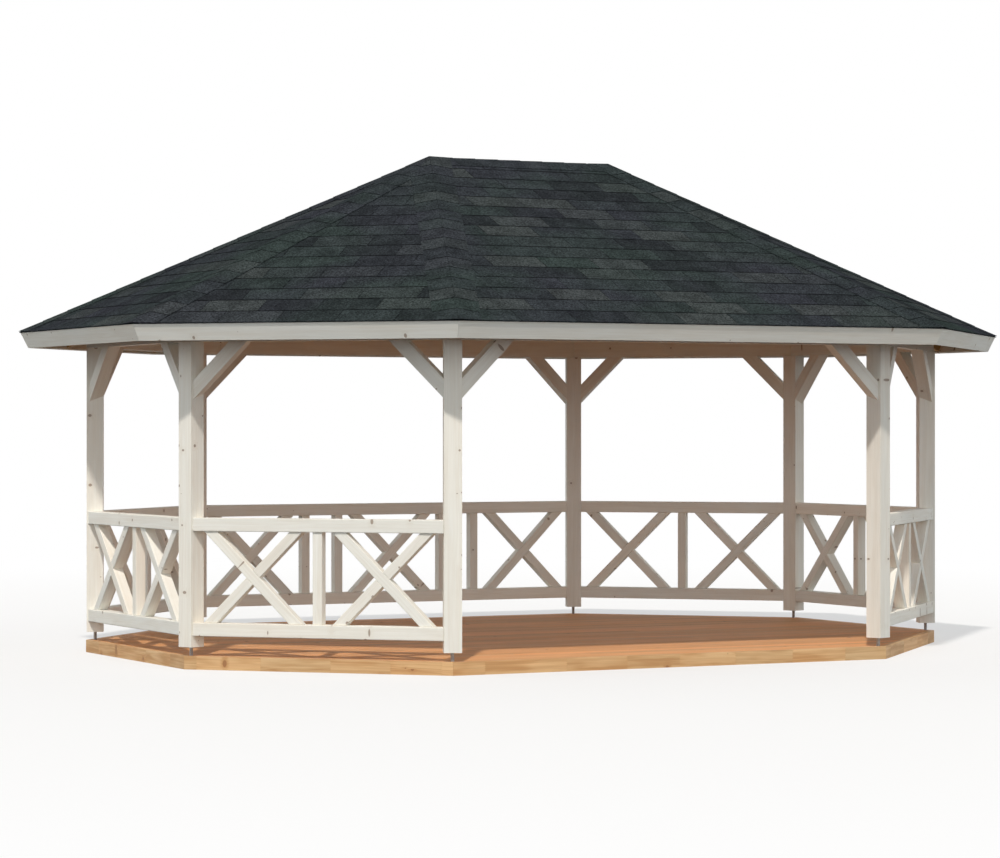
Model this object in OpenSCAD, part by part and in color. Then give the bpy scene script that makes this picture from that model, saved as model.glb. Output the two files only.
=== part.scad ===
// Garden gazebo: an elongated eight-sided timber shelter with a low hipped roof.
// Millimetres, +Z up. The origin is on the ground under the middle of the floor,
// +X runs along the ridge, and the open side, the way in, faces -Y.

/* [Plan] */
// Length of each of the six equal sides, between post centres
side_w = 1875; // [1500:5:2200]
// Extra length of the front and back sides, which is also the ridge's length
stretch = 1505; // [1250:5:2400]

/* [Floor] */
// Height of the whole floor above the ground
floor_h = 90; // [80:1:160]
// Thickness of the floor boards
floor_board_t = 28; // [20:1:40]
// Thickness of the edge boards around the floor
rim_t = 40; // [25:1:60]
// How far the floor reaches past the line of the post centres
floor_reach = 62; // [40:1:120]
// Width of a floor joist
joist_w = 45; // [35:1:70]
// Largest space from one joist to the next
joist_pitch = 560; // [400:10:700]

/* [Posts] */
// Width of the square posts
post_w = 120; // [90:1:150]
// Length of a post, from its foot to the underside of the beams
post_h = 2075; // [1800:5:2600]
// Height of the steel feet between floor and posts
foot_h = 60; // [30:1:120]
// Diameter of the steel pin that carries a post
foot_pin_d = 24; // [14:1:40]

/* [Railings] */
// Height of a railing, over both rails
railing_h = 803; // [600:1:1000]
// Gap between a post's foot and the lower rail
railing_lift = 77; // [40:1:160]
// Height of each rail
rail_h = 91; // [60:1:120]
// Depth of the rails, front to back
rail_d = 99; // [80:1:105]
// How far the rails' outer faces stand behind the posts' outer arrises
rail_inset = 10; // [1:1:20]
// Width of a cross's bars and of the uprights
bar_w = 68; // [45:1:75]
// Depth of those bars, front to back
bar_d = 74; // [45:1:78]
// Gap along the rails between a cross and the upright or post beside it
cross_gap = 73; // [20:1:120]

/* [Beams] */
// Width of the ring beams and the knee braces
beam_w = 91; // [70:1:115]
// Height of the ring beams at the middle of their sloping tops
beam_h = 214; // [150:1:260]
// How far the beams' outer faces stand out from the line of the post centres
beam_face = 58; // [45:1:75]
// Depth of a knee brace, square to its length
brace_d = 91; // [70:1:120]
// Height that a knee brace takes on the post, below the beam
brace_drop = 390; // [300:5:600]

/* [Roof] */
// Slope of the roof in degrees
pitch = 25.1; // [18:0.1:35]
// How far the roof's edge reaches past the line of the post centres
eave = 510; // [350:5:650]
// Depth of the rafters, square to the slope
rafter_d = 95; // [70:1:145]
// Width of the rafters
rafter_w = 45; // [35:1:60]
// Largest space from one rafter to the next
rafter_pitch = 620; // [450:10:800]
// Thickness of the ridge board
ridge_t = 28; // [20:1:45]
// Height of the ridge board
ridge_h = 145; // [110:5:200]
// Width of the eight-sided blocks at the ridge's ends, across their flats
block_w = 150; // [130:5:220]
// Height of those blocks
block_h = 160; // [130:5:260]
// Thickness of the roof boards
roof_board_t = 19; // [15:1:28]
// Thickness of the shingle layer
shingle_t = 6; // [4:1:10]
// How far the shingles reach past the fascia
drip = 6; // [2:1:20]
// Thickness of the shingle caps along the hips
cap_t = 9; // [6:1:12]
// Thickness of the shingle caps along the ridge, between the hips' caps
ridge_cap_t = 5; // [2:1:5]
// Width of the caps on each side of a ridge or hip
cap_w = 160; // [90:5:200]
// Width of the fascia boards
fascia_w = 125; // [110:1:180]
// Thickness of the fascia boards
fascia_t = 20; // [15:1:30]
// Gap left at mitred joints
mitre = 0.6; // [0.4:0.1:0.9]

/* [Hidden] */
half_turn = 22.5;                                     // half the turn from one side to the next
apothem = side_w * (1 + sqrt(2)) / 2;                 // post centre line, from a ridge end
arris_out = post_w / sqrt(2) * cos(half_turn);        // post's outer arris, out from the centre line
arris_in = post_w / sqrt(2) * sin(half_turn);         // the same arris, in along the side
post_z = floor_h + foot_h;
beam_z = post_z + post_h;
beam_top = beam_z + beam_h;
beam_mid = beam_face - beam_w / 2;
rail_face = arris_out - rail_inset;
rail_z = post_z + railing_lift;
rail_mid = rail_face - rail_d / 2;
bar_face = rail_mid + bar_d / 2;                      // outer faces of the crosses and uprights
cross_h = railing_h - 2 * rail_h;
panel_w = side_w / 2 - face_in(bar_face) - bar_w / 2; // clear width around one cross
roof_t = rafter_d + roof_board_t + shingle_t;
eave_y = (eave - beam_mid - roof_t * sin(pitch)) / cos(pitch);   // roof's edge, measured down the slope
fascia_y = eave_y - drip;
frame_y = fascia_y - fascia_t;                        // where rafters and roof boards stop
hip_slope = atan(tan(pitch) * cos(half_turn));
hip_backing = rafter_w / 2 * sin(half_turn) * tan(pitch);        // lets a flat-topped hip clear the boards
hip_h = rafter_d / cos(pitch) - hip_backing;                     // upright depth of a hip rafter
board_z = slope_z(-apothem) + rafter_d / cos(pitch);             // where the roof boards' undersides meet
reach = side_w + stretch + 2 * eave;                  // longer than any piece of the roof
far = 4 * reach;

// Sides run anticlockwise from the front, and corner n lies between sides n and n + 1.

// ---- plan ----
function is_long(side) = side == 0 || side == 4;
function side_length(side) = is_long(side) ? side_w + stretch : side_w;
function side_angle(side) = 45 * side - 90;
function corner_angle(corner) = side_angle(corner) + half_turn;
function end_x(corner) = corner < 4 ? stretch / 2 : -stretch / 2;
function middle_x(side) = is_long(side) ? 0 : side < 4 ? stretch / 2 : -stretch / 2;
function corner_at(corner, out = 0) =
    let (r = (apothem + out) / cos(half_turn), a = corner_angle(corner))
    [end_x(corner) + r * cos(a), r * sin(a)];

// How far a post's side face stands from its centre along the side, at a distance out from the line
function face_in(out) = arris_in + (arris_out - out) * tan(half_turn);

// Height of a slope's lower face over the point that is `out` past the post centre line
function slope_z(out) = beam_top + (beam_mid - out) * tan(pitch);

// Puts children on a side: x along it, y outwards from the line of the post centres
module on_side(side) {
    translate([middle_x(side), 0, 0])
        rotate([0, 0, side_angle(side) - 90])
            translate([0, apothem, 0])
                children();
}

// Puts children at a corner's post centre, x outwards
module on_corner(corner) {
    at = corner_at(corner);
    translate([at.x, at.y, 0])
        rotate([0, 0, corner_angle(corner)])
            children();
}

// Puts children on a side's slope: y down the slope, z square to it from the rafters' undersides
module on_slope(side) {
    on_side(side)
        translate([0, beam_mid, beam_top])
            rotate([-pitch, 0, 0])
                children();
}

module plan_shape(out) {
    polygon([for (corner = [0:7]) corner_at(corner, out)]);
}

// Half the width of a side's wedge at a distance out from the post centre line
function half_width(side, out, gap) =
    side_length(side) / 2 + out * tan(half_turn) - gap / 2 / cos(half_turn);

// Everything that belongs to one side: an upright wedge between its two mitres and the ridge
module side_wedge(side, gap = mitre, ridge_gap = mitre) {
    inner = (is_long(side) ? ridge_gap / 2 : gap / 2 / sin(half_turn)) - apothem;
    outer_w = half_width(side, reach, gap);
    inner_w = half_width(side, inner, gap);
    tip = is_long(side) ? [[inner_w, inner], [-inner_w, inner]] : [[0, inner]];
    on_side(side)
        linear_extrude(far)
            polygon(concat([[-outer_w, reach], [outer_w, reach]], tip));
}

// A side's slope between two depths, down to an edge, not yet cut to the side's wedge
module slope_slab(side, low, high, edge) {
    on_slope(side)
        translate([-far / 2, edge - far / 2, low])
            cube([far, far / 2, high - low]);
}

module slope_layer(side, low, high, edge) {
    intersection() {
        slope_slab(side, low, high, edge);
        side_wedge(side);
    }
}

// ---- floor ----
module floor_boards() {
    color("peru")
        translate([0, 0, floor_h - floor_board_t])
            linear_extrude(floor_board_t)
                plan_shape(floor_reach - rim_t);
}

module floor_joists() {
    half_len = stretch / 2 + apothem;
    count = ceil(half_len / joist_pitch) - 1;
    color("tan")
        intersection() {
            linear_extrude(floor_h - floor_board_t)
                plan_shape(floor_reach - rim_t);
            for (i = [-count:count])
                translate([i * half_len / (count + 1) - joist_w / 2, -reach, 0])
                    cube([joist_w, 2 * reach, floor_h]);
        }
}

module floor_rim() {
    color("burlywood")
        for (side = [0:7])
            intersection() {
                on_side(side)
                    translate([-reach / 2, floor_reach - rim_t, 0])
                        cube([reach, rim_t, floor_h]);
                side_wedge(side);
            }
}

// ---- posts ----
module post_feet() {
    color("slategray")
        for (corner = [0:7])
            on_corner(corner)
                translate([0, 0, floor_h])
                    cylinder(d = foot_pin_d, h = foot_h, $fn = 48);
}

module post(corner) {
    color("linen")
        on_corner(corner)
            translate([-post_w / 2, -post_w / 2, post_z])
                cube([post_w, post_w, post_h]);
}

// Both posts of a side, as a cutter for what butts against them
module side_posts(side) {
    post((side + 7) % 8);
    post(side);
}

// The stretch of a side between its posts' outer arrises
module side_bar(side, inner_face, depth, low, high) {
    length = side_length(side) - 2 * arris_in;
    on_side(side)
        translate([-length / 2, inner_face, low])
            cube([length, depth, high - low]);
}

// ---- ring beams and knee braces ----
module beam(side) {
    color("linen")
        intersection() {
            on_side(side)
                translate([-reach / 2, beam_face - beam_w, beam_z])
                    cube([reach, beam_w, 2 * beam_h]);
            slope_slab(side, -reach, 0, frame_y);
            side_wedge(side);
        }
}

// Two bars at 45 degrees, from the posts' side faces up to the beam
module braces(side) {
    color("linen")
        difference() {
            intersection() {
                side_bar(side, beam_face - beam_w, beam_w, post_z, beam_z);
                on_side(side)
                    for (way = [0, 1])
                        mirror([way, 0, 0])
                            translate([side_length(side) / 2 - face_in(beam_face),
                                       beam_face - beam_w, beam_z - brace_drop])
                                rotate([0, 45, 0])
                                    translate([-post_h, 0, 0])
                                        cube([2 * post_h, beam_w, brace_d]);
            }
            side_posts(side);
        }
}

// ---- railings ----
// Where the crosses and uprights of a side stand along it
function last_cross(side) = side_length(side) / 2 - face_in(bar_face) - panel_w / 2;
function cross_places(side) =
    concat([-last_cross(side), last_cross(side)], is_long(side) ? [0] : []);
function upright_places(side) =
    let (outer = last_cross(side) - (panel_w + bar_w) / 2, inner = (panel_w + bar_w) / 2)
    is_long(side) ? [-outer, -inner, inner, outer] : [0];

// One bar of a cross, corner to corner between the rails, with its ends cut level
module cross_bar() {
    run = panel_w - 2 * cross_gap;
    slope = atan(cross_h / run) + asin(bar_w / norm([run, cross_h]));
    foot = bar_w / sin(slope);
    rotate([90, 0, 0])
        linear_extrude(bar_d)
            polygon([[-run / 2, 0], [foot - run / 2, 0], [run / 2, cross_h], [run / 2 - foot, cross_h]]);
}

module railing(side) {
    color("linen") {
        for (low = [rail_z, rail_z + rail_h + cross_h])
            difference() {
                side_bar(side, rail_face - rail_d, rail_d, low, low + rail_h);
                side_posts(side);
            }
        on_side(side)
            translate([0, bar_face, rail_z + rail_h]) {
                for (x = cross_places(side), way = [0, 1])
                    translate([x, 0, 0])
                        mirror([way, 0, 0])
                            cross_bar();
                for (x = upright_places(side))
                    translate([x - bar_w / 2, -bar_d, 0])
                        cube([bar_w, bar_d, cross_h]);
            }
    }
}

// ---- roof frame ----
// Puts children at one end of the ridge, x running down a corner's hip
module on_hip(corner) {
    translate([end_x(corner), 0, 0])
        rotate([0, 0, corner_angle(corner)])
            children();
}

module ridge_block(corner) {
    corner_r = block_w / 2 / cos(half_turn);
    on_hip(corner)
        translate([0, 0, board_z - corner_r * tan(pitch) - block_h])
            rotate([0, 0, half_turn])
                cylinder(r = corner_r, h = block_h, $fn = 8);
}

module ridge_blocks() {
    color("burlywood") {
        ridge_block(0);
        ridge_block(4);
    }
}

module ridge_board() {
    top = board_z - ridge_t / 2 * tan(pitch);
    color("burlywood")
        difference() {
            translate([-stretch / 2, -ridge_t / 2, top - ridge_h])
                cube([stretch, ridge_t, ridge_h]);
            ridge_blocks();
        }
}

module hip_rafter(corner) {
    intersection() {
        on_hip(corner)
            translate([0, -rafter_w / 2, board_z - hip_backing])
                rotate([0, hip_slope, 0])
                    translate([-hip_h, 0, -hip_h * cos(hip_slope)])
                        cube([reach, rafter_w, hip_h * cos(hip_slope)]);
        on_hip(corner)
            translate([block_w / 2, -rafter_w, 0])
                cube([reach, 2 * rafter_w, far]);
        slope_slab(corner, -reach, rafter_d, frame_y);
        slope_slab((corner + 1) % 8, -reach, rafter_d, frame_y);
    }
}

module hip_rafters() {
    color("burlywood")
        for (corner = [0:7])
            hip_rafter(corner);
}

// Rafters of one side, evenly spaced about its middle, cut to the hips and the ridge board
module side_rafters(side) {
    half_len = side_length(side) / 2;
    count = ceil(half_len / rafter_pitch);
    step = half_len / count;
    start = is_long(side) ? -half_len + step / 2 : -half_len + step;
    difference() {
        intersection() {
            on_slope(side)
                for (x = [start:step:half_len - step / 4])
                    translate([x - rafter_w / 2, frame_y - reach, 0])
                        cube([rafter_w, reach, rafter_d]);
            side_wedge(side, rafter_w, ridge_t);
        }
        ridge_blocks();
    }
}

module common_rafters() {
    color("burlywood")
        for (side = [0:7])
            side_rafters(side);
}

// ---- roof covering ----
module roof_boards() {
    color("burlywood")
        for (side = [0:7])
            slope_layer(side, rafter_d, rafter_d + roof_board_t, frame_y);
}

module shingles() {
    color("darkslategray")
        for (side = [0:7])
            slope_layer(side, rafter_d + roof_board_t, roof_t, eave_y);
}

// The space above the ridge's caps, which the hips' thicker caps lap by a little
module ridge_step(side) {
    intersection() {
        slope_slab(side, roof_t + ridge_cap_t, roof_t + 2 * cap_t, eave_y);
        side_wedge(side, 2 * (cap_w + cap_t), -2 * cap_w);
    }
}

// Strips along the ridge and the hips, one piece on each slope
module roof_caps() {
    color("darkslategray")
        for (side = [0:7])
            difference() {
                slope_layer(side, roof_t, roof_t + cap_t, eave_y);
                side_wedge(side, 2 * cap_w, 2 * cap_w);
                if (is_long(side))
                    ridge_step(side);
            }
}

module fascia() {
    top = rafter_d + roof_board_t;
    color("linen")
        for (side = [0:7])
            intersection() {
                on_slope(side)
                    translate([-reach, frame_y, top - fascia_w])
                        cube([2 * reach, fascia_t, fascia_w]);
                side_wedge(side);
            }
}

floor_boards();
floor_joists();
floor_rim();
post_feet();
post(0);  // post_front_right
post(1);  // post_right_front
post(2);  // post_right_back
post(3);  // post_back_right
post(4);  // post_back_left
post(5);  // post_left_back
post(6);  // post_left_front
post(7);  // post_front_left
beam(0);  // beam_front
beam(1);  // beam_front_right
beam(2);  // beam_right
beam(3);  // beam_back_right
beam(4);  // beam_back
beam(5);  // beam_back_left
beam(6);  // beam_left
beam(7);  // beam_front_left
braces(0);  // braces_front
braces(1);  // braces_front_right
braces(2);  // braces_right
braces(3);  // braces_back_right
braces(4);  // braces_back
braces(5);  // braces_back_left
braces(6);  // braces_left
braces(7);  // braces_front_left
railing(1);  // railing_front_right
railing(2);  // railing_right
railing(3);  // railing_back_right
railing(4);  // railing_back
railing(5);  // railing_back_left
railing(6);  // railing_left
railing(7);  // railing_front_left
ridge_board();
ridge_blocks();
hip_rafters();
common_rafters();
roof_boards();
shingles();
roof_caps();
fascia();
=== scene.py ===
import math
import random

import bmesh
import bpy
from mathutils import Matrix, Vector


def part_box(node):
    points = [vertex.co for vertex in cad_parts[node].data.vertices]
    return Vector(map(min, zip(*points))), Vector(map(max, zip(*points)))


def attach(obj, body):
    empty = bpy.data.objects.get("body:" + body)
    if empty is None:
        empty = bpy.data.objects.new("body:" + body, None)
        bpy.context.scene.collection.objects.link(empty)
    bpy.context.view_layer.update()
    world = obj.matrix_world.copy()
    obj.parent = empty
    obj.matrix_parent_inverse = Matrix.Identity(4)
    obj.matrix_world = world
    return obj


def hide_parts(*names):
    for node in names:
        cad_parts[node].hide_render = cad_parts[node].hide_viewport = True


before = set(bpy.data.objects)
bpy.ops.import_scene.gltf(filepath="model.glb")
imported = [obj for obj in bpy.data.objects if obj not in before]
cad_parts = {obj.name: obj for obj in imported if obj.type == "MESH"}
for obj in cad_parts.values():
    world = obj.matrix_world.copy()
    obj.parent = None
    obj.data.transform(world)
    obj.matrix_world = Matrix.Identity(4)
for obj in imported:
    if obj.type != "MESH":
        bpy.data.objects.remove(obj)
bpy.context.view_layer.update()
print("frame loaded:", len(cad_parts), "parts")

# The plan, read off the posts. Sides run anticlockwise from the front, and post n stands
# between sides n and n + 1.
sideNames = ["front", "front_right", "right", "back_right", "back", "back_left", "left", "front_left"]
longSides = (0, 4)
halfTurn = math.radians(22.5)
up = Vector((0, 0, 1))


def centreOf(name):
    low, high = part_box(name)
    return (low + high) / 2


frontPost = centreOf("post_front_right")
endPost = centreOf("post_right_front")
sideLength = -2 * endPost.y                      # between post centres on a short side
ridgeHalf = frontPost.x - sideLength / 2
apothem = -frontPost.y                           # post centre line, out from a ridge end
postLow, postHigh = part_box("post_front_right")
postWidth = (postHigh.x - postLow.x) / (math.cos(halfTurn) + math.sin(halfTurn))
floorLow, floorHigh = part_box("floor_boards")
railLow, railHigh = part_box("railing_left")


def frameOf(x, y, z, origin):
    place = Matrix((x, y, z)).transposed().to_4x4()
    place.translation = origin
    return place


def lengthOf(side):
    return sideLength + (2 * ridgeHalf if side in longSides else 0)


# x along the side, y outwards from the line of the post centres, z up
def sideFrame(side):
    turn = math.radians(45 * side - 90)
    out = Vector((math.cos(turn), math.sin(turn), 0))
    along = Vector((out.y, -out.x, 0))
    middle = 0 if side in longSides else ridgeHalf if side < 4 else -ridgeHalf
    return frameOf(along, out, up, Vector((middle, 0, 0)) + out * apothem)


# The two upright planes that end whatever runs along a side, set in from the mitres
def endCuts(side, setIn):
    place = sideFrame(side)
    cuts = []
    for way in (-1, 1):
        facing = Vector((way * math.cos(halfTurn), -math.sin(halfTurn), 0))
        at = Vector((way * lengthOf(side) / 2, 0, 0)) - facing * setIn
        cuts.append((place @ at, place.to_3x3() @ facing))
    return cuts


timber = {
    "seed": 11,
    "heartNear": 0.015,      # how far a length's heart lies from its middle
    "heartFar": 0.09,
    "startFar": 40,          # each length starts somewhere along one very long trunk
    "bevelSteps": 2,
    "sharp": 0.25,           # edges that turn by more than this, in radians, are eased
    "mitre": 0.0004,         # set back from a mitre, so that two lengths don't share a face
}
chance = random.Random(timber["seed"])


def startStock():
    return {"points": [], "faces": [], "grain": [], "shade": []}


def anySide(low, high):
    return chance.choice((-1, 1)) * chance.uniform(low, high)


# Adds one length of timber, with its own run of grain and its own shade
def addLength(stock, solid, place):
    near, far = timber["heartNear"], timber["heartFar"]
    heart = Vector((chance.uniform(0, timber["startFar"]), anySide(near, far), anySide(near, far)))
    shade = chance.random()
    first = len(stock["points"])
    solid.verts.index_update()
    for corner in solid.verts:
        stock["points"].append(place @ corner.co)
        stock["grain"].append(corner.co + heart)
        stock["shade"].append(shade)
    for face in solid.faces:
        stock["faces"].append([first + corner.index for corner in face.verts])
    solid.free()


def softenEdges(solid, edge):
    sharp = [e for e in solid.edges if len(e.link_faces) == 2 and e.calc_face_angle() > timber["sharp"]]
    bmesh.ops.bevel(solid, geom=sharp, offset=edge, segments=timber["bevelSteps"], profile=0.5,
                    affect="EDGES", clamp_overlap=True)


def cutAway(solid, at, facing):
    reach = [(corner.co - at).dot(facing) for corner in solid.verts]
    if not reach or max(reach) < 1e-6:
        return
    every = solid.verts[:] + solid.edges[:] + solid.faces[:]
    bmesh.ops.bisect_plane(solid, geom=every, plane_co=at, plane_no=facing, clear_outer=True)
    rim = [e for e in solid.edges if e.is_boundary]
    if rim:
        bmesh.ops.holes_fill(solid, edges=rim, sides=0)


# A sawn bar: x along the grain, cut off by planes given in the gazebo's own frame
def addBar(stock, place, size, cuts=(), edge=0.003):
    solid = bmesh.new()
    bmesh.ops.create_cube(solid, size=1)
    bmesh.ops.scale(solid, vec=size, verts=solid.verts)
    back = place.inverted()
    for at, facing in cuts:
        cutAway(solid, back @ at, back.to_3x3() @ facing)
    if len(solid.faces) < 4:
        solid.free()
        return
    softenEdges(solid, edge)
    addLength(stock, solid, place)


# The separate solids of a part of the frame
def solidsOf(name):
    whole = bmesh.new()
    whole.from_mesh(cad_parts[name].data)
    bmesh.ops.remove_doubles(whole, verts=whole.verts, dist=0.00003)
    bmesh.ops.dissolve_limit(whole, angle_limit=0.01, verts=whole.verts, edges=whole.edges)
    whole.verts.ensure_lookup_table()
    left = set(whole.faces)
    solids = []
    for start in whole.faces[:]:
        if start not in left:
            continue
        group = []
        queue = [start]
        left.discard(start)
        while queue:
            face = queue.pop()
            group.append(face)
            for e in face.edges:
                for beside in e.link_faces:
                    if beside in left:
                        left.discard(beside)
                        queue.append(beside)
        solids.append([[corner.co.copy() for corner in face.verts] for face in group])
    whole.free()
    return solids


# The same lengths of timber as the frame has, with the grain along each and its edges eased
def timberOf(stock, name, edge):
    for faces in solidsOf(name):
        edges = [(face[i], face[i - 1]) for face in faces for i in range(len(face))]
        longest = max(edges, key=lambda pair: round((pair[0] - pair[1]).length, 4))
        along = (longest[0] - longest[1]).normalized()
        across = [(a - b) - along * (a - b).dot(along) for a, b in edges]
        width = max(across, key=lambda way: round(way.length, 4)).normalized()
        corners = [corner for face in faces for corner in face]
        middle = sum(corners, Vector()) / len(corners)
        place = frameOf(along, width, along.cross(width), middle)
        back = place.inverted()
        solid = bmesh.new()
        known = {}
        for face in faces:
            ring = []
            for corner in face:
                key = tuple(round(value, 5) for value in corner)
                if key not in known:
                    known[key] = solid.verts.new(back @ corner)
                ring.append(known[key])
            solid.faces.new(ring)
        softenEdges(solid, edge)
        addLength(stock, solid, place)


# Turns a stock into one piece that stands for parts of the frame
def makePiece(name, stock, material, nodes):
    mesh = bpy.data.meshes.new(name)
    mesh.from_pydata(stock["points"], [], stock["faces"])
    mesh.attributes.new("grain", "FLOAT_VECTOR", "POINT")
    mesh.attributes.new("shade", "FLOAT", "POINT")
    grain = [value for point in stock["grain"] for value in point]
    mesh.attributes["grain"].data.foreach_set("vector", grain)
    mesh.attributes["shade"].data.foreach_set("value", stock["shade"])
    mesh.materials.append(material)
    mesh.update()
    piece = bpy.data.objects.new(name, mesh)
    bpy.context.scene.collection.objects.link(piece)
    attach(piece, "root")
    if nodes:
        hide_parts(*nodes)
    return piece


def addNode(tree, kind, inputs=None, **settings):
    made = tree.nodes.new(kind)
    for key, value in settings.items():
        setattr(made, key, value)
    for key, value in (inputs or {}).items():
        if isinstance(value, bpy.types.NodeSocket):
            tree.links.new(value, made.inputs[key])
        else:
            made.inputs[key].default_value = value
    return made


def maths(tree, operation, a, b=0.0):
    return addNode(tree, "ShaderNodeMath", {0: a, 1: b}, operation=operation).outputs[0]


def joined(tree, x, y=0.0, z=0.0):
    return addNode(tree, "ShaderNodeCombineXYZ", {0: x, 1: y, 2: z}).outputs[0]


def lengthNode(tree, vector):
    return addNode(tree, "ShaderNodeVectorMath", {0: vector}, operation="LENGTH").outputs["Value"]


def spanOf(tree, x, y):
    return lengthNode(tree, joined(tree, x, y))


def blend(tree, share, a, b, way="MIX"):
    mix = addNode(tree, "ShaderNodeMix", {0: share, 6: a, 7: b}, data_type="RGBA", blend_type=way)
    return mix.outputs[2]


def ease(tree, value, low, high, start=0.0, end=1.0):
    sockets = {"Value": value, "From Min": low, "From Max": high, "To Min": start, "To Max": end}
    return addNode(tree, "ShaderNodeMapRange", sockets, interpolation_type="SMOOTHSTEP").outputs[0]


def cloud(tree, place, scale, detail=3.0, rough=0.55):
    sockets = {"Vector": place, "Scale": scale, "Detail": detail, "Roughness": rough}
    return addNode(tree, "ShaderNodeTexNoise", sockets).outputs[0]


def readValue(tree, name, output="Fac"):
    return addNode(tree, "ShaderNodeAttribute", attribute_name=name).outputs[output]


# A second value of a piece's own, which has nothing to do with its shade
def otherShade(tree, shade):
    return maths(tree, "FRACT", maths(tree, "MULTIPLY", shade, 7.3))


def startFinish(name, roughness, specular=0.5, metallic=0.0):
    material = bpy.data.materials.new(name)
    material.use_nodes = True
    tree = material.node_tree
    shader = tree.nodes["Principled BSDF"]
    shader.inputs["Roughness"].default_value = roughness
    shader.inputs["Specular IOR Level"].default_value = specular
    shader.inputs["Metallic"].default_value = metallic
    return material, tree, shader


def addBump(tree, shader, height, depth, strength=1.0):
    sockets = {"Height": height, "Distance": depth, "Strength": strength}
    tree.links.new(addNode(tree, "ShaderNodeBump", sockets).outputs[0], shader.inputs["Normal"])


# How all the softwoods here grow, in metres and in turns round the heart
growth = {
    "sway": 0.05, "swayScale": 1.3,                # a heart that isn't straight
    "knotsPerTurn": 0.62, "haloReach": 0.045,
    "ringBend": 0.011,                             # rings bulge round a knot
    "ringSharp": 2.5, "blockShift": 0.12, "toothSlope": 1.6,
}


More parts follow.
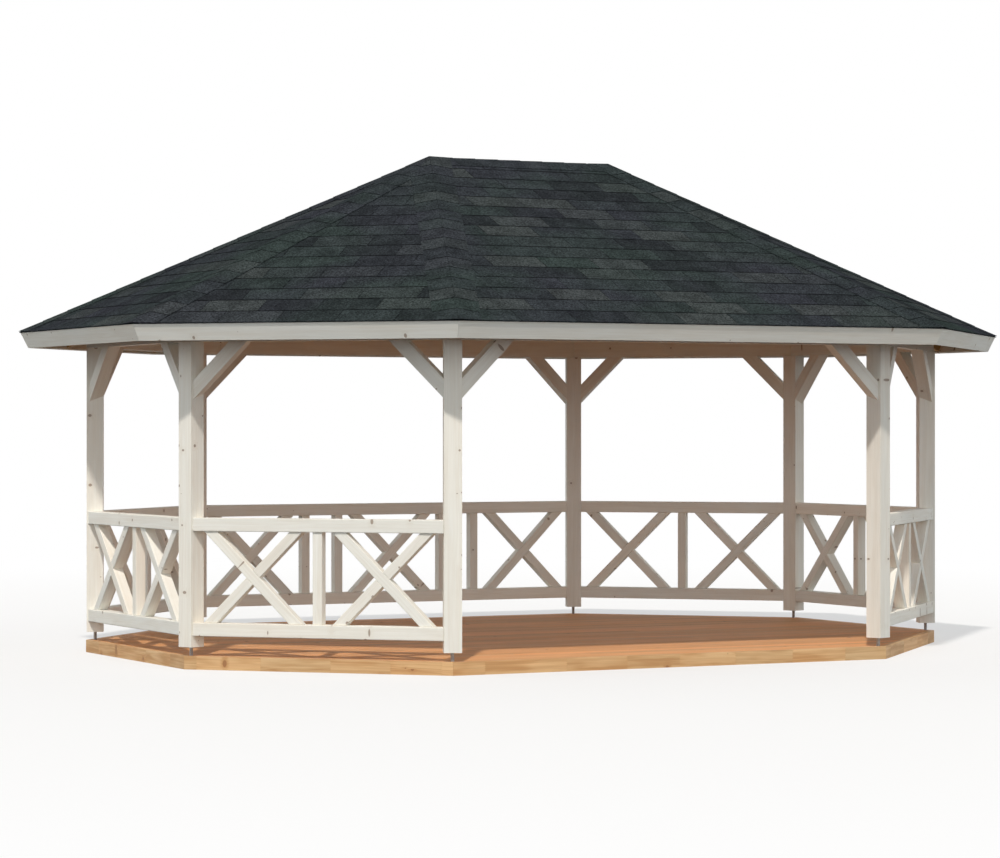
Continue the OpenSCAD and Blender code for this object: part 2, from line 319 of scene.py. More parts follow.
# Softwood with rings round a heart, knots that spread from it, and fine fibre along the grain
def woodFinish(name, look):
    material, tree, shader = startFinish(name, look["roughness"], look["specular"])
    grain = readValue(tree, "grain", "Vector")
    shade = readValue(tree, "shade")
    parts = addNode(tree, "ShaderNodeSeparateXYZ", {0: grain}).outputs
    x, y, z = parts[0], parts[1], parts[2]
    blockEdge = None
    if look.get("block"):
        # finger joints: short blocks end to end, with teeth where they meet
        teeth = maths(tree, "PINGPONG", maths(tree, "ADD", z, y), look["tooth"])
        run = maths(tree, "ADD", x, maths(tree, "MULTIPLY", teeth, growth["toothSlope"]))
        cell = {"W": run, "Scale": 1 / look["block"], "Randomness": 0.75}
        blocks = addNode(tree, "ShaderNodeTexVoronoi", cell, voronoi_dimensions="1D").outputs
        shift = addNode(tree, "ShaderNodeSeparateXYZ", {0: blocks[1]}).outputs
        y = maths(tree, "ADD", y, maths(tree, "MULTIPLY", shift[0], growth["blockShift"]))
        z = maths(tree, "ADD", z, maths(tree, "MULTIPLY", shift[1], growth["blockShift"]))
        shade = shift[2]
        gap = addNode(tree, "ShaderNodeTexVoronoi", cell, voronoi_dimensions="1D",
                      feature="DISTANCE_TO_EDGE").outputs[0]
        blockEdge = ease(tree, maths(tree, "MULTIPLY", gap, look["block"]), 0.0006, 0.0016, 1.0, 0.0)
    drift = joined(tree, maths(tree, "MULTIPLY", x, 0.55), maths(tree, "MULTIPLY", y, 3.0),
                   maths(tree, "MULTIPLY", z, 3.0))
    slow = {"Vector": drift, "Scale": growth["swayScale"], "Detail": 2.0}
    sway = addNode(tree, "ShaderNodeTexNoise", slow).outputs[1]
    swayParts = addNode(tree, "ShaderNodeSeparateXYZ", {0: sway}).outputs
    aside = [maths(tree, "SUBTRACT", swayParts[k], 0.5) for k in (0, 1)]
    y = maths(tree, "ADD", y, maths(tree, "MULTIPLY", aside[0], growth["sway"]))
    z = maths(tree, "ADD", z, maths(tree, "MULTIPLY", aside[1], growth["sway"]))
    radius = spanOf(tree, y, z)
    turn = maths(tree, "ARCTAN2", z, y)

    perMetre, perTurn = look["knotsAlong"], growth["knotsPerTurn"]
    knotPlace = joined(tree, maths(tree, "MULTIPLY", x, perMetre), maths(tree, "MULTIPLY", turn, perTurn))
    knots = addNode(tree, "ShaderNodeTexVoronoi", {"Vector": knotPlace, "Scale": 1.0},
                    voronoi_dimensions="2D").outputs
    at = addNode(tree, "ShaderNodeSeparateXYZ", {0: knots[2]}).outputs
    alongKnot = maths(tree, "SUBTRACT", x, maths(tree, "DIVIDE", at[0], perMetre))
    turnKnot = maths(tree, "SUBTRACT", turn, maths(tree, "DIVIDE", at[1], perTurn))
    acrossKnot = maths(tree, "MULTIPLY", turnKnot, radius)
    away = spanOf(tree, alongKnot, acrossKnot)
    luck = addNode(tree, "ShaderNodeSeparateXYZ", {0: knots[1]}).outputs
    knotSize = ease(tree, luck[0], 1 - look["knotShare"], 1.0, 0.0, look["knotRadius"])
    inKnot = ease(tree, maths(tree, "SUBTRACT", away, knotSize), -0.003, 0.001, 1.0, 0.0)
    inKnot = maths(tree, "MULTIPLY", inKnot, maths(tree, "GREATER_THAN", knotSize, 0.002))
    nearKnot = maths(tree, "MULTIPLY", ease(tree, away, 0.0, growth["haloReach"], 1.0, 0.0),
                     ease(tree, knotSize, 0.001, look["knotRadius"]))

    bent = maths(tree, "ADD", radius, maths(tree, "MULTIPLY", nearKnot, growth["ringBend"]))
    wave = maths(tree, "SINE", maths(tree, "MULTIPLY", bent, 2 * math.pi / look["ring"]))
    rings = maths(tree, "MULTIPLY", maths(tree, "ADD", wave, 1.0), 0.5)
    rings = maths(tree, "POWER", rings, growth["ringSharp"])
    fibre = joined(tree, maths(tree, "MULTIPLY", x, 5.0), maths(tree, "MULTIPLY", bent, 420.0),
                   maths(tree, "MULTIPLY", turn, 14.0))
    fine = cloud(tree, fibre, 1.0, 3.0)
    streakPlace = joined(tree, maths(tree, "MULTIPLY", x, 0.9), maths(tree, "MULTIPLY", bent, 70.0),
                         maths(tree, "MULTIPLY", turn, 3.0))
    streak = ease(tree, cloud(tree, streakPlace, 1.0, 2.0), 0.38, 0.66)

    patchPlace = joined(tree, maths(tree, "MULTIPLY", x, 2.2), maths(tree, "MULTIPLY", bent, 22.0),
                        maths(tree, "MULTIPLY", turn, 1.6))
    patches = ease(tree, cloud(tree, patchPlace, 1.0, 2.0), 0.40, 0.64)

    dark = maths(tree, "MULTIPLY", rings, look["ringShow"])
    dark = maths(tree, "ADD", dark, maths(tree, "MULTIPLY", patches, look["patchShow"]))
    dark = maths(tree, "ADD", dark, maths(tree, "MULTIPLY", streak, look["streakShow"]))
    dark = maths(tree, "ADD", dark, maths(tree, "MULTIPLY", nearKnot, look["haloShow"]))
    colour = blend(tree, dark, look["pale"], look["deep"])
    tone = ease(tree, shade, 0.0, 1.0, 1 - look["toneRange"], 1 + look["toneRange"])
    fibreTone = ease(tree, fine, 0.2, 0.8, 1 - look["fibreShow"], 1 + look["fibreShow"])
    tone = maths(tree, "MULTIPLY", tone, fibreTone)
    # some lengths, and some stretches of each, are warmer than others
    warm = maths(tree, "SUBTRACT", otherShade(tree, shade), 0.5)
    drifting = maths(tree, "MULTIPLY", maths(tree, "SUBTRACT", swayParts[2], 0.5), 2.5)
    warm = maths(tree, "MULTIPLY", maths(tree, "ADD", warm, drifting), look["warmRange"])
    red = maths(tree, "MULTIPLY", tone, maths(tree, "ADD", warm, 1.0))
    blue = maths(tree, "MULTIPLY", tone, maths(tree, "SUBTRACT", 1.0, warm))
    colour = blend(tree, 1.0, colour, joined(tree, red, tone, blue), "MULTIPLY")
    colour = blend(tree, maths(tree, "MULTIPLY", inKnot, look["knotShow"]), colour, look["knot"])
    if blockEdge is not None:
        colour = blend(tree, maths(tree, "MULTIPLY", blockEdge, 0.45), colour, look["deep"])
    tree.links.new(colour, shader.inputs["Base Color"])
    rough = maths(tree, "ADD", maths(tree, "MULTIPLY", fine, 0.16), look["roughness"] - 0.08)
    tree.links.new(rough, shader.inputs["Roughness"])
    height = maths(tree, "ADD", maths(tree, "MULTIPLY", fine, 0.6), maths(tree, "MULTIPLY", rings, -0.3))
    height = maths(tree, "SUBTRACT", height, maths(tree, "MULTIPLY", inKnot, 0.5))
    addBump(tree, shader, height, look["relief"], 0.7)
    return material


glazeLook = {
    "pale": (0.91, 0.888, 0.815, 1), "deep": (0.825, 0.775, 0.68, 1), "knot": (0.30, 0.21, 0.15, 1),
    "ring": 0.0042, "ringShow": 0.22, "streakShow": 0.30, "haloShow": 0.40, "toneRange": 0.03,
    "fibreShow": 0.03, "knotsAlong": 4.0, "knotShare": 0.62, "knotRadius": 0.012, "knotShow": 0.75,
    "patchShow": 0.34, "warmRange": 0.035, "roughness": 0.62, "specular": 0.1, "relief": 0.0004,
}
deckLook = {
    "pale": (0.80, 0.415, 0.185, 1), "deep": (0.60, 0.285, 0.115, 1), "knot": (0.20, 0.085, 0.04, 1),
    "ring": 0.005, "ringShow": 0.40, "streakShow": 0.38, "haloShow": 0.4, "toneRange": 0.09,
    "fibreShow": 0.06, "knotsAlong": 1.6, "knotShare": 0.35, "knotRadius": 0.012, "knotShow": 0.75,
    "patchShow": 0.30, "warmRange": 0.08, "roughness": 0.62, "specular": 0.15, "relief": 0.0006,
}
rimLook = {
    "pale": (0.82, 0.535, 0.275, 1), "deep": (0.60, 0.320, 0.135, 1), "knot": (0.33, 0.145, 0.065, 1),
    "ring": 0.0048, "ringShow": 0.30, "streakShow": 0.45, "haloShow": 0.85, "toneRange": 0.045,
    "fibreShow": 0.05, "knotsAlong": 3.6, "knotShare": 0.65, "knotRadius": 0.016, "knotShow": 0.7,
    "patchShow": 0.60, "warmRange": 0.07, "roughness": 0.58, "specular": 0.2, "relief": 0.0005,
    "block": 0.46, "tooth": 0.006,
}
pineLook = {
    "pale": (0.64, 0.40, 0.175, 1), "deep": (0.48, 0.27, 0.095, 1), "knot": (0.20, 0.09, 0.04, 1),
    "ring": 0.0045, "ringShow": 0.35, "streakShow": 0.35, "haloShow": 0.45, "toneRange": 0.10,
    "fibreShow": 0.05, "knotsAlong": 2.4, "knotShare": 0.5, "knotRadius": 0.013, "knotShow": 0.75,
    "patchShow": 0.30, "warmRange": 0.08, "roughness": 0.6, "specular": 0.2, "relief": 0.0005,
}
whiteGlaze = woodFinish("white_glaze", glazeLook)
deckWood = woodFinish("floor_wood", deckLook)
rimWood = woodFinish("rim_wood", rimLook)
pine = woodFinish("pine", pineLook)

steelLook = {"pale": (0.47, 0.48, 0.49, 1), "dull": (0.30, 0.31, 0.32, 1), "roughness": 0.42}


# Hot-dip zinc: a mottle of dull crystals, rougher where it is greyer
def steelFinish(look):
    material, tree, shader = startFinish("steel", look["roughness"], 0.5, 0.9)
    place = addNode(tree, "ShaderNodeTexCoord").outputs["Object"]
    crystals = addNode(tree, "ShaderNodeTexVoronoi", {"Vector": place, "Scale": 190.0}).outputs[1]
    mottle = maths(tree, "ADD", maths(tree, "MULTIPLY", crystals, 0.5), cloud(tree, place, 60.0))
    colour = blend(tree, ease(tree, mottle, 0.4, 1.1), look["dull"], look["pale"])
    tree.links.new(colour, shader.inputs["Base Color"])
    rough = maths(tree, "ADD", maths(tree, "MULTIPLY", mottle, -0.15), look["roughness"] + 0.12)
    tree.links.new(rough, shader.inputs["Roughness"])
    addBump(tree, shader, cloud(tree, place, 420.0), 0.0002, 0.5)
    return material


steel = steelFinish(steelLook)

shingleLook = {
    "slate": (0.034, 0.037, 0.045, 1), "moss": (0.034, 0.046, 0.044, 1), "pale": (0.053, 0.060, 0.060, 1),
    # edge is the colour of the painted shade line along each tab's lower edge and ends
    "dark": (0.021, 0.024, 0.027, 1), "edge": (0.007, 0.008, 0.009, 1),
    "grit": 900.0, "edgeShadeWidth": 0.012, "endGap": 0.006, "roughness": 1.0, "specular": 0.0,
}


# Mineral grit on bitumen. The grain value holds a tab's own place: across it, up from its lower
# edge, and how near its ends are. The shade value is the tab's own.
def shingleFinish(look):
    material, tree, shader = startFinish("shingle", look["roughness"], look["specular"])
    own = addNode(tree, "ShaderNodeSeparateXYZ", {0: readValue(tree, "grain", "Vector")}).outputs
    shade = readValue(tree, "shade")
    place = addNode(tree, "ShaderNodeTexCoord").outputs["Object"]
    patches = ease(tree, cloud(tree, place, 0.75, 3.0), 0.42, 0.60)
    tabHue = ease(tree, otherShade(tree, shade), 0.15, 0.85)
    hue = maths(tree, "ADD", maths(tree, "MULTIPLY", patches, 0.7), maths(tree, "MULTIPLY", tabHue, 0.3))
    colour = blend(tree, hue, look["slate"], look["moss"])
    colour = blend(tree, ease(tree, shade, 0.58, 1.0, 0.0, 0.75), colour, look["pale"])
    colour = blend(tree, ease(tree, shade, 0.0, 0.36, 0.7, 0.0), colour, look["dark"])
    smudge = ease(tree, cloud(tree, place, 7.0, 4.0), 0.3, 0.7, 0.80, 1.22)
    grit = addNode(tree, "ShaderNodeTexVoronoi", {"Vector": place, "Scale": look["grit"] / 3}).outputs[1]
    speck = ease(tree, cloud(tree, place, look["grit"] / 12, 3.0, 0.8), 0.34, 0.70, 0.45, 1.65)
    tone = maths(tree, "MULTIPLY", smudge, speck)
    colour = blend(tree, 1.0, colour, joined(tree, tone, tone, tone), "MULTIPLY")
    # painted shade: each tab darkens to near black along its lower edge and towards its ends, where one
    # course laps the next and the tabs meet; the line is a little ragged
    ragged = maths(tree, "MULTIPLY", maths(tree, "SUBTRACT", cloud(tree, place, 24.0, 4.0, 0.7), 0.5), 0.03)
    fromEnd = maths(tree, "ADD", own[2], look["endGap"])
    fromEdge = maths(tree, "ADD", maths(tree, "MINIMUM", own[1], fromEnd), ragged)
    paintedEdgeShade = ease(tree, fromEdge, 0.001, look["edgeShadeWidth"], 0.85, 0.0)
    colour = blend(tree, paintedEdgeShade, colour, look["edge"])
    tree.links.new(colour, shader.inputs["Base Color"])
    rough = maths(tree, "SUBTRACT", look["roughness"], maths(tree, "MULTIPLY", grit, 0.15))
    tree.links.new(rough, shader.inputs["Roughness"])
    height = maths(tree, "ADD", maths(tree, "MULTIPLY", grit, 0.6), cloud(tree, place, look["grit"] / 8))
    addBump(tree, shader, height, 0.0012, 0.8)
    return material


shingle = shingleFinish(shingleLook)
print("finishes ready")

floor = {"board": 0.12, "gap": 0.004, "edge": 0.0025, "longest": 4.2, "shortest": 1.4, "buttGap": 0.002,
         "screwIn": 0.022, "screwHead": 0.0038, "screwClear": 0.018}


def joistLines():
    middles = []
    for faces in solidsOf("floor_joists"):
        xs = [corner.x for face in faces for corner in face]
        middles.append((min(xs) + max(xs)) / 2)
    return sorted(middles)


def floorCuts():
    out = floorHigh.y - apothem
    cuts = []
    for side in range(8):
        place = sideFrame(side)
        cuts.append((place @ Vector((0, out, 0)), place.to_3x3() @ Vector((0, 1, 0))))
    return cuts


def makeFloor():
    cuts = floorCuts()
    joists = joistLines()
    stock = startStock()
    screws = startStock()
    thick = floorHigh.z - floorLow.z
    span = floorHigh.y - floorLow.y
    shortest = floor["shortest"]
    rows = round(span / (floor["board"] + floor["gap"]))
    step = span / rows
    for row in range(rows):
        y = floorLow.y + step * (row + 0.5)
        # a long row is two or three boards, which meet on a joist
        stops = [floorLow.x]
        while floorHigh.x - stops[-1] > floor["longest"]:
            can = [x for x in joists
                   if shortest < x - stops[-1] < floor["longest"] and floorHigh.x - x > shortest]
            stops.append(chance.choice(can))
        stops.append(floorHigh.x)
        for start, end in zip(stops, stops[1:]):
            place = Matrix.Translation(((start + end) / 2, y, (floorLow.z + floorHigh.z) / 2))
            size = (end - start - floor["buttGap"], step - floor["gap"], thick)
            addBar(stock, place, size, cuts, floor["edge"])
        for x in joists:
            for way in (-1, 1):
                addScrew(screws, Vector((x, y + way * (step / 2 - floor["screwIn"]), floorHigh.z)), cuts)
    makePiece("deck_boards", stock, deckWood, ["floor_boards"])
    makePiece("deck_screws", screws, steel, [])
    print("floor:", rows, "rows of boards")


# A countersunk head, let into the board, with a shallow round dish in its middle
def addScrew(stock, at, cuts):
    if any((at - point).dot(facing) > -floor["screwClear"] for point, facing in cuts):
        return
    head = floor["screwHead"]
    first = len(stock["points"])
    count = 8
    for reach, height in ((head, -0.0004), (head * 0.8, 0.0001), (head * 0.3, -0.0009)):
        for i in range(count):
            turn = 2 * math.pi * i / count
            stock["points"].append(at + Vector((reach * math.cos(turn), reach * math.sin(turn), height)))
            stock["grain"].append(at)
            stock["shade"].append(0.5)
    for ring in (0, count):
        for i in range(count):
            beside = (i + 1) % count
            stock["faces"].append([first + ring + i, first + ring + beside,
                                   first + ring + count + beside, first + ring + count + i])
    stock["faces"].append([first + 2 * count + i for i in range(count)])


makeFloor()

# How far the edges of the frame timbers are eased
easedEdges = {"post": 0.006, "beam": 0.005, "brace": 0.005, "joist": 0.003, "rim": 0.004, "rafter": 0.004,
              "fascia": 0.003}


def makeTimber(name, material, edge):
    stock = startStock()
    timberOf(stock, name, edge)
    makePiece(name + "_timber", stock, material, [name])


def makeFrame():
    for name in sorted(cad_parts):
        if name.startswith("post_") and name != "post_feet":
            makeTimber(name, whiteGlaze, easedEdges["post"])
        elif name.startswith("beam_"):
            makeTimber(name, whiteGlaze, easedEdges["beam"])
        elif name.startswith("braces_"):
            makeTimber(name, whiteGlaze, easedEdges["brace"])
    makeTimber("floor_joists", pine, easedEdges["joist"])
    makeTimber("floor_rim", rimWood, easedEdges["rim"])
    makeTimber("ridge_board", pine, easedEdges["rafter"])
    makeTimber("ridge_blocks", pine, easedEdges["rafter"])
    makeTimber("hip_rafters", pine, easedEdges["rafter"])
    makeTimber("common_rafters", pine, easedEdges["rafter"])
    makeTimber("fascia", whiteGlaze, easedEdges["fascia"])
    print("frame timbers placed")


makeFrame()

# A galvanised pin under each post
foot = {"pin": 0.012, "thread": 0.0006, "pitch": 0.003, "chamfer": 0.0012}
postNames = ["front_right", "right_front", "right_back", "back_right",
             "back_left", "left_back", "left_front", "front_left"]


def addLathe(stock, at, profile, count=32):
    first = len(stock["points"])
    for reach, height in profile:
        for i in range(count):
            turn = 2 * math.pi * i / count
            stock["points"].append(at + Vector((reach * math.cos(turn), reach * math.sin(turn), height)))
            stock["grain"].append(at)
            stock["shade"].append(0.5)
    for ring in range(len(profile) - 1):
        low = first + ring * count
        for i in range(count):
            beside = (i + 1) % count
            stock["faces"].append([low + i, low + beside, low + count + beside, low + count + i])
    stock["faces"].append([first + i for i in reversed(range(count))])
    stock["faces"].append([first + (len(profile) - 1) * count + i for i in range(count)])


def makeFeet():
    low, high = floorHigh.z, postLow.z
    stock = startStock()
    pin, thread, chamfer = foot["pin"], foot["thread"], foot["chamfer"]
    turns = int((high - low) / foot["pitch"]) - 2
    step = (high - low - 4 * chamfer) / (2 * turns)
    for index in range(8):
        at = centreOf("post_" + postNames[index])
        at.z = 0
        profile = [(pin - chamfer, low), (pin, low + chamfer)]
        profile += [(pin - thread * (i % 2), low + 2 * chamfer + step * i) for i in range(2 * turns + 1)]
        profile += [(pin, high - chamfer), (pin - chamfer, high)]
        addLathe(stock, at, profile)
    makePiece("steel_feet", stock, steel, ["post_feet"])
    print("feet placed")


makeFeet()

railing = {"depth": 0.099, "rail": 0.091, "bar": 0.068, "barDepth": 0.074, "crossGap": 0.073,
           "railEdge": 0.005, "barEdge": 0.004, "joint": 0.0004}


def alongBar(place, x, y, z, turn=0.0):
    lean = Matrix.Rotation(-turn, 4, "Y")
    return place @ Matrix.Translation((x, y, z)) @ lean


def makeRailing(side):
    place = sideFrame(side)
    turned = place.to_3x3()
    stock = startStock()
    face = -railLow.x - ridgeHalf - apothem
    middle = face - railing["depth"] / 2
    bar, deep, rail = railing["bar"], railing["barDepth"], railing["rail"]
    low, high = railLow.z, railHigh.z
    posts = endCuts(side, postWidth / 2 + railing["joint"])
    for z in (low + rail / 2, high - rail / 2):
        addBar(stock, alongBar(place, 0, middle, z), (lengthOf(side), railing["depth"], rail), posts,
               railing["railEdge"])

    # crosses and uprights share the length between the posts, at the crosses' outer faces
    endIn = postWidth / 2 / math.cos(halfTurn) - (middle + deep / 2) * math.tan(halfTurn)
    panel = sideLength / 2 - endIn - bar / 2
    last = lengthOf(side) / 2 - endIn - panel / 2
    crosses = [-last, last]
    uprights = [0]
    if side in longSides:
        crosses.append(0)
        outer, inner = last - (panel + bar) / 2, (panel + bar) / 2
        uprights = [-outer, -inner, inner, outer]
    between = high - low - 2 * rail
    centre = (low + high) / 2
    ends = [(place @ Vector((0, 0, low + rail + railing["joint"])), -up),
            (place @ Vector((0, 0, high - rail - railing["joint"])), up)]
    run = panel - 2 * railing["crossGap"]
    slope = math.atan2(between, run) + math.asin(bar / math.hypot(run, between))
    length = between / math.sin(slope) + 2 * bar
    across = turned @ Vector((-math.sin(slope), 0, math.cos(slope)))
    for x in crosses:
        whole = alongBar(place, x, middle, centre, slope)
        addBar(stock, whole, (length, deep, bar), ends, railing["barEdge"])
        for way in (-1, 1):
            meets = place @ Vector((x, middle, centre)) + across * way * (bar / 2 + railing["joint"])
            addBar(stock, alongBar(place, x, middle, centre, -slope), (length, deep, bar),
                   ends + [(meets, -across * way)], railing["barEdge"])
    for x in uprights:
        addBar(stock, alongBar(place, x, middle, centre, math.pi / 2),
               (between - 2 * railing["joint"], deep, bar), (), railing["barEdge"])
    name = "railing_" + sideNames[side]
    makePiece(name + "_timber", stock, whiteGlaze, [name])


for side in range(1, 8):
    makeRailing(side)
print("railings placed")

# A slope's own frame: x along it, y down it from the ridge, z square to it from the shingles' top
topFace = max(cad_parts["shingles"].data.polygons, key=lambda face: (face.normal.z > 0) * face.area)
pitch = math.acos(topFace.normal.z)
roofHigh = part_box("shingles")[1]
slopeLength = roofHigh.y / math.cos(pitch)
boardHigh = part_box("roof_boards")[1]
spread = math.cos(pitch) * math.tan(halfTurn)    # how fast a slope widens, down one edge
ridgeTop = roofHigh.z
shingleLayer = (roofHigh.z - boardHigh.z) * math.cos(pitch)


def slopeFrame(side):
    place = sideFrame(side)
    turned = place.to_3x3()
    down = turned @ Vector((0, math.cos(pitch), -math.sin(pitch)))
    along = turned @ Vector((1, 0, 0))
    middle = 0 if side in longSides else ridgeHalf if side < 4 else -ridgeHalf
    return frameOf(along, down, along.cross(down), Vector((middle, 0, ridgeTop)))


def topWidth(side):
    return ridgeHalf if side in longSides else 0.0


# Keeps the part of an outline where reach(point) is not over 0
def trimmed(outline, reach):
    kept = []
    for i, point in enumerate(outline):
        before = outline[i - 1]
        a, b = reach(before), reach(point)
        if (a > 0) != (b > 0):
            share = a / (a - b)
            kept.append(tuple(before[k] + (point[k] - before[k]) * share for k in (0, 1)))
        if b <= 0:
            kept.append(point)
    return kept


def trimToSlope(outline, side, gap=0.0):
    half = topWidth(side) - gap
    outline = trimmed(outline, lambda p: p[0] - half - p[1] * spread)
    outline = trimmed(outline, lambda p: -p[0] - half - p[1] * spread)
    return trimmed(outline, lambda p: p[1] - slopeLength)


# A thin plate on a slope: an outline with a top and an underside height at each corner
def addPlate(stock, place, outline, top, under, own, shade):
    if len(outline) < 3:
        return
    area = sum(a[0] * b[1] - b[0] * a[1] for a, b in zip(outline[-1:] + outline[:-1], outline))
    if abs(area) < 1e-6:
        return
    if area < 0:
        outline = outline[::-1]
    first = len(stock["points"])
    count = len(outline)
    for height in (under, top):
        for point in outline:
            stock["points"].append(place @ Vector((point[0], point[1], height(point))))
            stock["grain"].append(own(point))
            stock["shade"].append(shade)
    stock["faces"].append([first + count + i for i in range(count)])
    stock["faces"].append([first + i for i in reversed(range(count))])
    for i in range(count):
        beside = (i + 1) % count
        stock["faces"].append([first + i, first + beside, first + count + beside, first + count + i])


courses = {"high": 0.19, "lap": 0.035, "tab": 0.415, "slot": 0.0022, "thick": 0.0038, "lift": 0.0012,
           "felt": 0.0012, "stagger": 0.5, "uneven": 0.08, "droop": 0.0012, "endWidth": 0.03}


# Courses are set out up from the eaves, each laid half a tab or so along from the last
def makeShingles():
    stock = startStock()
    high, lap, tab, slotWide = courses["high"], courses["lap"], courses["tab"], courses["slot"]
    layer = shingleLayer
    plain = Vector((0, 1, 1))
    count = 0
    for side in range(8):
        place = slopeFrame(side)
        wide = topWidth(side) + slopeLength * spread
        whole = trimToSlope([(-wide, 0), (wide, 0), (wide, slopeLength), (-wide, slopeLength)], side,
                            timber["mitre"])
        addPlate(stock, place, whole, lambda p: courses["felt"] - layer, lambda p: -layer + 0.0001,
                 lambda p: plain, 0.1)
        for row in range(math.ceil(slopeLength / high)):
            edge = slopeLength - row * high
            uneven = chance.uniform(-courses["uneven"], courses["uneven"])
            start = -wide - tab * ((row * courses["stagger"] + uneven) % 1)
            while start < wide:
                left, right = start + slotWide / 2, start + tab - slotWide / 2
                droop = chance.uniform(-courses["droop"], courses["droop"])
                lower = min(edge + droop, slopeLength)
                upper = max(edge - high - lap, 0)
                outline = [(left, upper), (right, upper), (right, lower), (left, lower)]
                outline = trimToSlope(outline, side, timber["mitre"])
                proud = chance.uniform(0.3, 1.0) * courses["lift"]
                fall = layer - courses["felt"] - courses["thick"] * 0.2 - proud

                def top(p, lower=lower, proud=proud, fall=fall):
                    return -proud - fall * min((lower - p[1]) / (high + lap), 1.0) * 0.92

                def under(p, top=top):
                    return max(top(p) - courses["thick"], -layer + courses["felt"])

                addTab(stock, place, outline, top, under, left, right, lower)
                count += 1
                start += tab
    makePiece("shingle_courses", stock, shingle, ["shingles"])
    print("shingles:", count, "tabs")


# One tab, split along its length so that its ends and lower edge can be told from its middle
def addTab(stock, place, outline, top, under, left, right, lower):
    shade = chance.random()
    margin = courses["endWidth"]
    for low, high in ((left, left + margin), (left + margin, right - margin), (right - margin, right)):
        part = trimmed(outline, lambda p: low - p[0])
        part = trimmed(part, lambda p: p[0] - high)

        def own(p):
            return Vector((p[0] - left, lower - p[1], min(p[0] - left, right - p[0]) + 0.0005))

        addPlate(stock, place, part, top, under, own, shade)


makeShingles()

caps = {
    "wide": 0.16, "step": 0.19, "lap": 0.03, "thick": 0.0028,
    "hipHigh": 0.0088, "ridgeHigh": 0.0048, "fall": 0.0034,    # along the fold
    "edgeHigh": 0.0044, "edgeFall": 0.0029,                    # along the two outer edges
    "over": 0.09, "eaveRun": 0.12,
}


# Folded pieces that lap each other up every hip, then along the ridge. The top piece on a hip
# reaches over the end of the ridge's own caps.
def addCaps(stock, sides, start, end, high, over=0.0):
    run = end - start
    way = run.normalized()
    steps = round(run.length / caps["step"])
    step = run.length / steps
    for index in range(steps):
        shade = chance.uniform(0.2, 0.85)
        lowEnd = start + way * step * index
        topmost = over > 0 and index == steps - 1
        reach = run.length + over if topmost else min(step * (index + 1) + caps["lap"], run.length)
        highEnd = start + way * reach
        for side in sides:
            place = slopeFrame(side)
            back = place.inverted()
            inSlope = place.to_3x3() @ up
            wing = way.cross(inSlope)
            middle = place @ Vector((0, slopeLength * 0.6, 0))
            if wing.dot(middle - start) < 0:
                wing = -wing
            wing = wing.normalized() * caps["wide"]
            before = -way * caps["eaveRun"] if index == 0 else Vector()
            corners = [lowEnd + before, highEnd, highEnd + wing, lowEnd + before + wing]
            outline = [tuple((back @ corner).xy) for corner in corners]
            outline = trimmed(trimToSlope(outline, side), lambda p: -p[1])
            if side not in longSides:
                leans = (back @ (start + way * 0.01)).x
                outline = trimmed(outline, lambda p: -p[0] if leans > 0 else p[0])

            def passed(p):
                return ((place @ Vector((p[0], p[1], 0))) - lowEnd).dot(way)

            def top(p):
                share = 0 if topmost else min(max(passed(p) / (step + caps["lap"]), 0.0), 1.0)
                folded = high - caps["fall"] * share
                edge = min(high, caps["edgeHigh"]) - caps["edgeFall"] * share
                away = (place @ Vector((p[0], p[1], 0))) - start
                outward = min((away - way * away.dot(way)).length / caps["wide"], 1.0)
                return folded + (edge - folded) * outward

            def under(p):
                return 0.0001 if topmost else max(top(p) - caps["thick"], 0.0001)

            # each cap but the first takes the painted shade line along its lower end, where it laps the cap
            # below
            def own(p):
                return Vector((0, max(passed(p), 0) + 0.004 if index else 0.05, 0.04))

            addPlate(stock, place, outline, top, under, own, shade)


def makeCaps():
    stock = startStock()
    eave = roofHigh.y / math.cos(halfTurn)
    fall = roofHigh.y * math.tan(pitch)
    for corner in range(8):
        turn = math.radians(45 * corner - 90) + halfTurn
        ridgeEnd = Vector((ridgeHalf if corner < 4 else -ridgeHalf, 0, ridgeTop))
        eaveEnd = ridgeEnd + Vector((eave * math.cos(turn), eave * math.sin(turn), -fall))
        addCaps(stock, (corner, (corner + 1) % 8), eaveEnd, ridgeEnd, caps["hipHigh"], caps["over"])
    ridgeEnds = [Vector((x, 0, ridgeTop)) for x in (ridgeHalf, -ridgeHalf)]
    addCaps(stock, longSides, ridgeEnds[0], ridgeEnds[1], caps["ridgeHigh"])
    makePiece("hip_and_ridge_caps", stock, shingle, ["roof_caps"])
    print("caps placed")


makeCaps()

roofBoard = {"cover": 0.096, "thick": 0.019, "joint": 0.0012, "edge": 0.004}


# Tongue-and-groove boards across the rafters, which show from below with a V at each joint
def makeRoofBoards():
    stock = startStock()
    thick, cover = roofBoard["thick"], roofBoard["cover"]
    lastEdge = (boardHigh.y + shingleLayer * math.sin(pitch)) / math.cos(pitch)
    for side in range(8):
        place = slopeFrame(side)
        cuts = endCuts(side, timber["mitre"])
        if side in longSides:
            out = sideFrame(side).to_3x3() @ Vector((0, 1, 0))
            cuts.append((out * timber["mitre"], -out))
        for row in range(math.ceil(lastEdge / cover)):
            lower = lastEdge - row * cover
            upper = max(lower - cover, 0)
            wide = 2 * (topWidth(side) + lower * spread) + 0.2
            middle = Matrix.Translation((0, (lower + upper) / 2, -shingleLayer - thick / 2))
            addBar(stock, place @ middle, (wide, lower - upper - roofBoard["joint"], thick), cuts,
                   roofBoard["edge"])
    makePiece("roof_boarding", stock, pine, ["roof_boards"])
    print("roof boards placed")


makeRoofBoards()

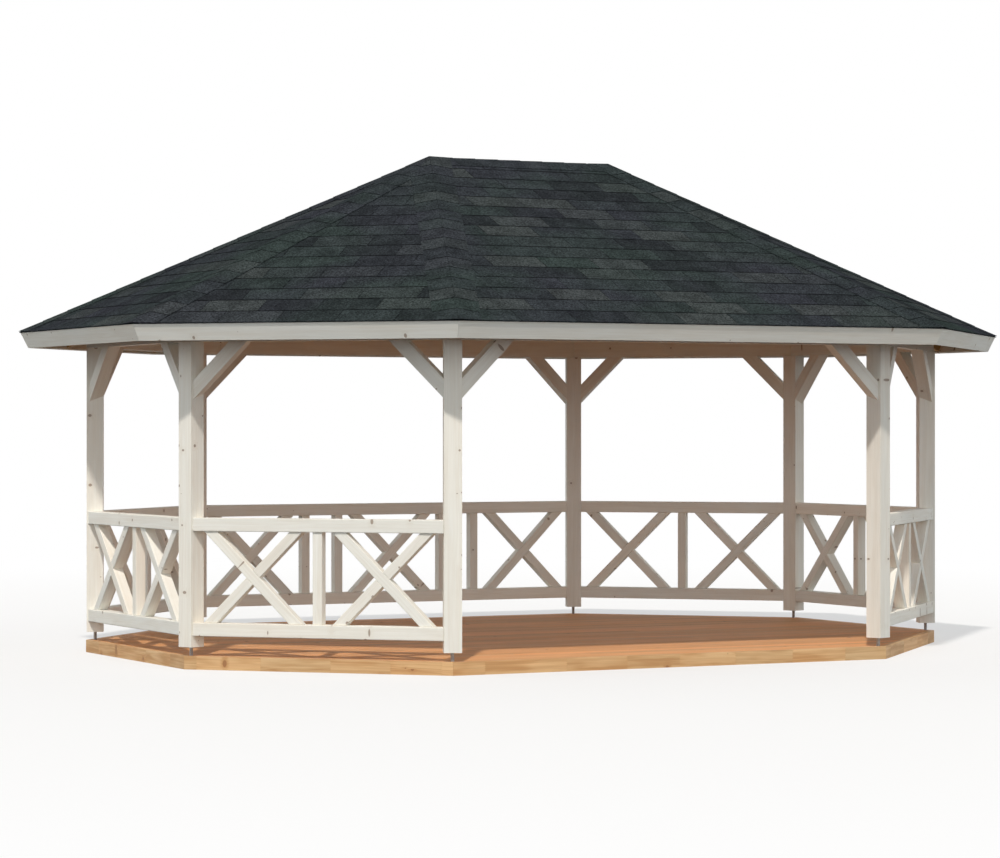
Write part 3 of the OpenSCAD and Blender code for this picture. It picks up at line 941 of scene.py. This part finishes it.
camera = {"place": (-11.32782, -21.61419, 1.64012), "turn": -27.3116, "tilt": 89.979, "lens": 117.34}
light = {
    "sunWay": (0.56, 0.83), "sunHeight": 52.0, "sun": 2.2, "softness": 2.5, "sunColour": (1.0, 0.955, 0.90),
    "skyLow": 1.45, "skyHigh": 0.05, "skyColour": (0.95, 0.98, 1.0, 1),
}
ground = {
    "seen": (0.90, 0.90, 0.90, 1), "bounce": (0.08, 0.08, 0.08, 1), "reach": 90.0, "below": 0.0005,
    "fadeFrom": 7.0, "fadeTo": 16.0, "fadeStart": 0.45,
}


def makeCamera():
    made = bpy.data.cameras.new("camera")
    made.lens = camera["lens"]
    made.sensor_width = 36.0
    made.clip_end = 400.0
    holder = bpy.data.objects.new("camera", made)
    holder.location = camera["place"]
    holder.rotation_euler = (math.radians(camera["tilt"]), 0, math.radians(camera["turn"]))
    bpy.context.scene.collection.objects.link(holder)
    bpy.context.scene.camera = holder


# 1 for what the camera sees, straight or by way of metal and glass, and 0 for light on the gazebo
def seenRays(tree):
    path = addNode(tree, "ShaderNodeLightPath").outputs
    seen = maths(tree, "MAXIMUM", path["Is Camera Ray"], path["Is Glossy Ray"])
    return maths(tree, "MAXIMUM", seen, path["Is Transmission Ray"])


def makeLight():
    lamp = bpy.data.lights.new("sun", "SUN")
    lamp.energy = light["sun"]
    lamp.angle = math.radians(light["softness"])
    lamp.color = light["sunColour"]
    holder = bpy.data.objects.new("sun", lamp)
    fall = math.tan(math.radians(light["sunHeight"])) * math.hypot(*light["sunWay"])
    beam = Vector((light["sunWay"][0], light["sunWay"][1], -fall))
    holder.rotation_euler = beam.to_track_quat("-Z", "Y").to_euler()
    holder.location = -beam * 20
    bpy.context.scene.collection.objects.link(holder)

    world = bpy.data.worlds.new("studio")
    world.use_nodes = True
    bpy.context.scene.world = world
    tree = world.node_tree
    tree.nodes.clear()
    seen = seenRays(tree)
    # soft light all round, stronger from the sides than from above
    way = addNode(tree, "ShaderNodeTexCoord").outputs["Generated"]
    height = addNode(tree, "ShaderNodeSeparateXYZ", {0: way}).outputs[2]
    rise = {"Value": height, "From Min": 0.0, "From Max": 1.0}
    rise.update({"To Min": light["skyLow"], "To Max": light["skyHigh"]})
    sky = addNode(tree, "ShaderNodeMapRange", rise).outputs[0]
    soft = addNode(tree, "ShaderNodeBackground", {"Color": light["skyColour"], "Strength": sky})
    white = addNode(tree, "ShaderNodeBackground", {"Color": (1, 1, 1, 1), "Strength": 1.0})
    both = addNode(tree, "ShaderNodeMixShader", {0: seen, 1: soft.outputs[0], 2: white.outputs[0]})
    addNode(tree, "ShaderNodeOutputWorld", {"Surface": both.outputs[0]})


def makeGround():
    reach = ground["reach"]
    mesh = bpy.data.meshes.new("ground")
    corners = [(-reach, -reach, 0), (reach, -reach, 0), (reach, reach, 0), (-reach, reach, 0)]
    mesh.from_pydata(corners, [], [(0, 1, 2, 3)])
    material, tree, shader = startFinish("ground", 0.9, 0.1)
    seen = seenRays(tree)
    colour = blend(tree, seen, ground["bounce"], ground["seen"])
    tree.links.new(colour, shader.inputs["Base Color"])
    place = addNode(tree, "ShaderNodeNewGeometry").outputs["Position"]
    away = lengthNode(tree, place)
    fade = ease(tree, away, ground["fadeFrom"], ground["fadeTo"], ground["fadeStart"], 1.0)
    fade = maths(tree, "MULTIPLY", fade, seen)
    white = addNode(tree, "ShaderNodeEmission", {"Color": (1, 1, 1, 1), "Strength": 1.0})
    both = addNode(tree, "ShaderNodeMixShader", {0: fade, 1: shader.outputs[0], 2: white.outputs[0]})
    tree.links.new(both.outputs[0], tree.nodes["Material Output"].inputs["Surface"])
    mesh.materials.append(material)
    made = bpy.data.objects.new("ground", mesh)
    made.location.z = -ground["below"]
    bpy.context.scene.collection.objects.link(made)


makeCamera()
makeLight()
makeGround()
bpy.context.scene.view_settings.view_transform = "Standard"
print("camera, light and ground ready")
